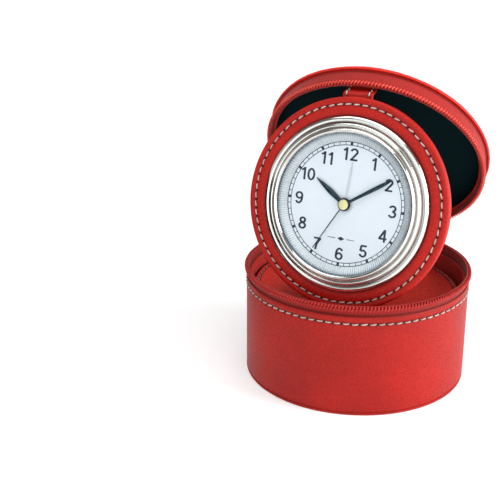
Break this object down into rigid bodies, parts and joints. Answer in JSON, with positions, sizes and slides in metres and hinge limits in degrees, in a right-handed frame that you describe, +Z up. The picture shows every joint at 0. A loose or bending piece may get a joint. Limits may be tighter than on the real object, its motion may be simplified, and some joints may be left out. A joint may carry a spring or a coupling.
{
  "type": "travel alarm clock",
  "caption": "Quartz travel alarm clock on a round leather plate that stands in its open zip case and folds into the lid",
  "frame": {"origin": "centre of the base's underside", "axes": "+Z up, +Y towards the lid's leather hinge, the dial faces -Y"},
  "size_m": [0.0942, 0.101, 0.1281],
  "materials": {
    "red_leather": "fine grain",
    "case_board": "raw card",
    "zip_tape": "woven",
    "zip_coil": "satin",
    "dark_lining": "matt",
    "liner_card": "paper covered",
    "bright_metal": "polished",
    "nickel": "satin",
    "clear": "clear",
    "silver_plastic": "silvered",
    "dial_paint": "satin",
    "black_plastic": "matt",
    "movement_plastic": "natural",
    "wheel_plastic": "natural",
    "brass": "polished",
    "steel": "satin",
    "copper": "wound",
    "board_green": "solder mask",
    "navy_paint": "satin",
    "silver_paint": "satin"
  },
  "bodies": {
    "base": {"base_bottom_cover": "red_leather", "base_bottom_board": "case_board", "base_drum": "case_board", "base_leather_wrap": "red_leather", "base_zip_tape": "zip_tape", "base_zip_coil": "zip_coil", "zip_end_stops": "nickel", "base_liner": "liner_card", "base_liner_floor": "liner_card", "pad_board": "case_board", "floor_pad": "red_leather", "hinge_panel": "red_leather"},
    "lid": {"lid_zip_tape": "zip_tape", "lid_zip_coil": "zip_coil", "lid_hoop": "case_board", "lid_edge_binding": "red_leather", "lid_board": "case_board", "lid_top_leather": "red_leather", "lid_lining": "dark_lining", "strap": "red_leather"},
    "clock_plate": {"plate_front_leather": "red_leather", "plate_board": "case_board", "plate_back_leather": "red_leather", "bezel": "bright_metal", "crystal": "clear", "rehaut_ring": "silver_plastic", "dial": "dial_paint", "movement_case": "black_plastic", "back_cover": "black_plastic", "case_screws": "steel", "button_cell": "steel", "battery_contacts": "brass", "movement_plate": "movement_plastic", "wheel_bridge": "movement_plastic", "bridge_screws": "steel", "motor_stator": "steel", "motor_coil": "copper", "circuit_board": "board_green", "quartz_can": "nickel", "controller_chip": "black_plastic", "buzzer": "brass"},
    "battery_door": {"battery_door": "black_plastic"},
    "alarm_switch": {"alarm_switch": "movement_plastic"},
    "minute_hand": {"minute_hand": "navy_paint", "centre_wheel": "brass"},
    "hour_hand": {"hour_hand": "navy_paint", "hour_wheel": "wheel_plastic"},
    "minute_wheel": {"minute_wheel": "wheel_plastic"},
    "time_set_knob": {"time_set_knob": "black_plastic"},
    "second_hand": {"second_hand": "navy_paint", "second_hand_cap": "brass", "second_wheel": "wheel_plastic"},
    "third_wheel": {"third_wheel": "wheel_plastic"},
    "intermediate_wheel": {"intermediate_wheel": "wheel_plastic"},
    "rotor": {"rotor": "steel"},
    "alarm_hand": {"alarm_hand": "silver_paint", "alarm_wheel": "wheel_plastic"},
    "alarm_set_knob": {"alarm_set_knob": "black_plastic"},
    "zip_slider": {"zip_slider": "nickel"},
    "zip_pull": {"zip_pull": "nickel"}
  },
  "joints": [
    {"name": "lid_hinge", "type": "hinge", "parent": "base", "child": "lid", "pos_m": [0, 0.0466, 0.0466], "axis": [-1, 0, 0], "range_deg": [-54.8, 0], "deforming": ["hinge_panel", "lid_zip_coil", "floor_pad", "pad_board"]},
    {"name": "plate_fold", "type": "hinge", "parent": "lid", "child": "clock_plate", "pos_m": [-0.00585, -0.00683, 0.12233], "axis": [-0.9905, 0.0127, -0.1369], "range_deg": [-48.53, 0], "deforming": ["strap"]},
    {"name": "battery_door_off", "type": "slide", "parent": "clock_plate", "child": "battery_door", "axis": [0.1121, 0.9689, -0.2207], "range_m": [0, 0.008]},
    {"name": "alarm_switch_slide", "type": "slide", "parent": "clock_plate", "child": "alarm_switch", "axis": [0.9934, -0.1149, 0], "range_m": [0, 0.004]},
    {"name": "minute_hand_turn", "type": "hinge", "parent": "clock_plate", "child": "minute_hand", "pos_m": [0, -0.022, 0.0786], "axis": [0.1121, 0.9689, -0.2207], "continuous": true},
    {"name": "hour_hand_turn", "type": "hinge", "parent": "clock_plate", "child": "hour_hand", "pos_m": [0, -0.022, 0.0786], "axis": [0.1121, 0.9689, -0.2207], "continuous": true},
    {"name": "minute_wheel_turn", "type": "hinge", "parent": "clock_plate", "child": "minute_wheel", "pos_m": [0.00715, -0.02283, 0.0786], "axis": [0.1121, 0.9689, -0.2207], "continuous": true},
    {"name": "time_set_turn", "type": "hinge", "parent": "clock_plate", "child": "time_set_knob", "pos_m": [0.01394, -0.02307, 0.081], "axis": [0.1121, 0.9689, -0.2207], "continuous": true},
    {"name": "second_hand_turn", "type": "hinge", "parent": "clock_plate", "child": "second_hand", "pos_m": [0, -0.022, 0.0786], "axis": [0.1121, 0.9689, -0.2207], "continuous": true},
    {"name": "third_wheel_turn", "type": "hinge", "parent": "clock_plate", "child": "third_wheel", "pos_m": [0.00022, -0.02014, 0.08689], "axis": [0.1121, 0.9689, -0.2207], "continuous": true},
    {"name": "intermediate_wheel_turn", "type": "hinge", "parent": "clock_plate", "child": "intermediate_wheel", "pos_m": [-0.00801, -0.02172, 0.07576], "axis": [0.1121, 0.9689, -0.2207], "continuous": true},
    {"name": "rotor_turn", "type": "hinge", "parent": "clock_plate", "child": "rotor", "pos_m": [-0.01272, -0.02155, 0.0741], "axis": [0.1121, 0.9689, -0.2207], "continuous": true},
    {"name": "alarm_hand_turn", "type": "hinge", "parent": "clock_plate", "child": "alarm_hand", "pos_m": [0, -0.022, 0.0786], "axis": [0.1121, 0.9689, -0.2207], "continuous": true},
    {"name": "alarm_set_turn", "type": "hinge", "parent": "clock_plate", "child": "alarm_set_knob", "pos_m": [0.00399, -0.02408, 0.0715], "axis": [0.1121, 0.9689, -0.2207], "continuous": true},
    {"name": "zip_slide", "type": "hinge", "parent": "base", "child": "zip_slider", "pos_m": [0, 0, 0.0466], "axis": [0, 0, 1], "range_deg": [-296, 0]},
    {"name": "zip_pull_lift", "type": "hinge", "parent": "zip_slider", "child": "zip_pull", "pos_m": [0.02628, 0.04206, 0.0466], "axis": [0.848, -0.5299, 0], "range_deg": [0, 100]}
  ],
  "couplings": [
    {"joint": "plate_fold", "follows": "lid_hinge", "ratio": 0.88463},
    {"joint": "minute_hand_turn", "follows": "second_hand_turn", "ratio": 0.016667},
    {"joint": "hour_hand_turn", "follows": "second_hand_turn", "ratio": 0.0013889},
    {"joint": "minute_wheel_turn", "follows": "second_hand_turn", "ratio": -0.0055556},
    {"joint": "time_set_turn", "follows": "second_hand_turn", "ratio": 0.016667},
    {"joint": "third_wheel_turn", "follows": "second_hand_turn", "ratio": -0.13333},
    {"joint": "intermediate_wheel_turn", "follows": "second_hand_turn", "ratio": -7.5},
    {"joint": "rotor_turn", "follows": "second_hand_turn", "ratio": 30},
    {"joint": "alarm_set_turn", "follows": "alarm_hand_turn", "ratio": -2.5}
  ]
}
